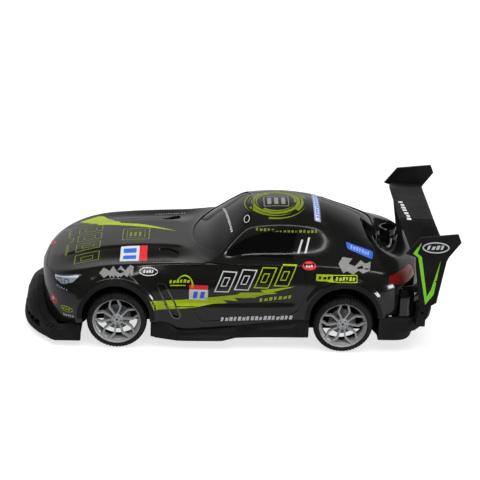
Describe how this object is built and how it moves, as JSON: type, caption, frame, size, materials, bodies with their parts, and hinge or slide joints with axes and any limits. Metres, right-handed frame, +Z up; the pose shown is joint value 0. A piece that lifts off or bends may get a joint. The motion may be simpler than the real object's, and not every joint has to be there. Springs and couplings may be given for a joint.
{
  "type": "rc drift car",
  "caption": "Radio-controlled drift car: hollow coupe shell over a chassis tray with geared rear axle, coupled steering, splitter, skirts and a tall rear wing.",
  "frame": {"origin": "on the ground under the middle of the car's overall box", "axes": "+X to the nose, +Y to the driver's left, +Z up"},
  "size_m": [0.3156, 0.1358, 0.0982],
  "materials": {
    "shell_paint": "gloss",
    "glazing": "gloss",
    "headlamp_clear": "gloss",
    "tail_lamp_red": "gloss",
    "black_plastic": "satin",
    "gloss_black": "gloss",
    "tank_plastic": "gloss",
    "frame_plastic": "satin",
    "nylon": "satin",
    "brass": "satin",
    "steel": "satin",
    "battery_wrap": "gloss",
    "circuit_board": "satin",
    "servo_case": "satin",
    "wire_cover": "satin",
    "wheel_chrome": "satin",
    "tyre": "matte",
    "disc_metal": "satin"
  },
  "bodies": {
    "chassis": {"body_shell": "shell_paint", "windscreen": "glazing", "rear_window": "glazing", "side_window_left": "glazing", "side_window_right": "glazing", "headlamp_lens_left": "headlamp_clear", "headlamp_lens_right": "headlamp_clear", "tail_lamp_lens_left": "tail_lamp_red", "tail_lamp_lens_right": "tail_lamp_red", "front_bumper": "black_plastic", "side_skirt_left": "black_plastic", "side_skirt_right": "black_plastic", "rear_bumper": "black_plastic", "wing_blade": "black_plastic", "wing_end_plate_left": "black_plastic", "wing_end_plate_right": "black_plastic", "filler_neck": "gloss_black", "water_tank": "tank_plastic", "atomizer_disc": "brass", "chassis_tray": "frame_plastic", "front_top_plate": "frame_plastic", "steering_servo": "servo_case", "battery_pack": "battery_wrap", "control_board": "circuit_board", "antenna_wire": "wire_cover", "switch_housing": "steel", "lamp_boards": "circuit_board", "gearbox_case": "frame_plastic", "gearbox_cover": "frame_plastic", "motor_can": "steel", "intermediate_shaft": "steel", "axle_bushes": "brass", "body_screws": "steel"},
    "rear_axle_set": {"rear_axle": "steel", "axle_gear": "nylon", "rear_rim_left": "wheel_chrome", "rear_tyre_left": "tyre", "rear_disc_left": "disc_metal", "rear_rim_right": "wheel_chrome", "rear_tyre_right": "tyre", "rear_disc_right": "disc_metal", "rear_wheel_screws": "steel"},
    "intermediate_gear": {"intermediate_gear": "nylon"},
    "motor_rotor": {"motor_shaft": "steel", "motor_pinion": "brass"},
    "left_knuckle": {"knuckle_left": "frame_plastic", "front_wheel_screw_left": "steel"},
    "right_knuckle": {"knuckle_right": "frame_plastic", "front_wheel_screw_right": "steel"},
    "front_wheel_left": {"front_rim_left": "wheel_chrome", "front_tyre_left": "tyre", "front_disc_left": "disc_metal"},
    "front_wheel_right": {"front_rim_right": "wheel_chrome", "front_tyre_right": "tyre", "front_disc_right": "disc_metal"},
    "tie_rod": {"tie_rod": "frame_plastic"},
    "servo_arm": {"servo_arm": "nylon"},
    "battery_door": {"battery_door": "frame_plastic"},
    "switch_slider": {"switch_slider": "nylon"}
  },
  "joints": [
    {"name": "rear_axle_spin", "type": "hinge", "parent": "chassis", "child": "rear_axle_set", "pos_m": [-0.079, 0, 0.0218], "axis": [0, 1, 0], "continuous": true},
    {"name": "intermediate_gear_spin", "type": "hinge", "parent": "chassis", "child": "intermediate_gear", "pos_m": [-0.062, 0, 0.02636], "axis": [0, 1, 0], "continuous": true},
    {"name": "motor_spin", "type": "hinge", "parent": "chassis", "child": "motor_rotor", "pos_m": [-0.04606, 0, 0.02411], "axis": [0, 1, 0], "continuous": true},
    {"name": "steer_left", "type": "hinge", "parent": "chassis", "child": "left_knuckle", "pos_m": [0.085, 0.041, 0.0218], "axis": [0, 0, 1], "range_deg": [-22, 22]},
    {"name": "steer_right", "type": "hinge", "parent": "chassis", "child": "right_knuckle", "pos_m": [0.085, -0.041, 0.0218], "axis": [0, 0, 1], "range_deg": [-22.1, 22.1]},
    {"name": "tie_rod_slide", "type": "slide", "parent": "chassis", "child": "tie_rod", "axis": [0, 1, 0], "range_m": [-0.00463, 0.00463]},
    {"name": "servo_arm_turn", "type": "hinge", "parent": "chassis", "child": "servo_arm", "pos_m": [0.058, 0, 0.025], "axis": [0, 0, 1], "range_deg": [-17.7, 17.7]},
    {"name": "front_left_wheel_spin", "type": "hinge", "parent": "left_knuckle", "child": "front_wheel_left", "pos_m": [0.085, 0.054, 0.0218], "axis": [0, 1, 0], "continuous": true},
    {"name": "front_right_wheel_spin", "type": "hinge", "parent": "right_knuckle", "child": "front_wheel_right", "pos_m": [0.085, -0.054, 0.0218], "axis": [0, 1, 0], "continuous": true},
    {"name": "battery_door_hinge", "type": "hinge", "parent": "chassis", "child": "battery_door", "pos_m": [0.047, 0, 0.0096], "axis": [0, 1, 0], "range_deg": [-90, 0]},
    {"name": "power_switch_slide", "type": "slide", "parent": "chassis", "child": "switch_slider", "axis": [1, 0, 0], "range_m": [0, 0.003]}
  ],
  "couplings": [
    {"joint": "intermediate_gear_spin", "follows": "rear_axle_spin", "ratio": -2.1429},
    {"joint": "motor_spin", "follows": "rear_axle_spin", "ratio": 6.0714},
    {"joint": "steer_right", "follows": "steer_left", "ratio": 1},
    {"joint": "tie_rod_slide", "follows": "steer_left", "m_per_rad": -0.012},
    {"joint": "servo_arm_turn", "follows": "steer_left", "ratio": -0.8}
  ]
}
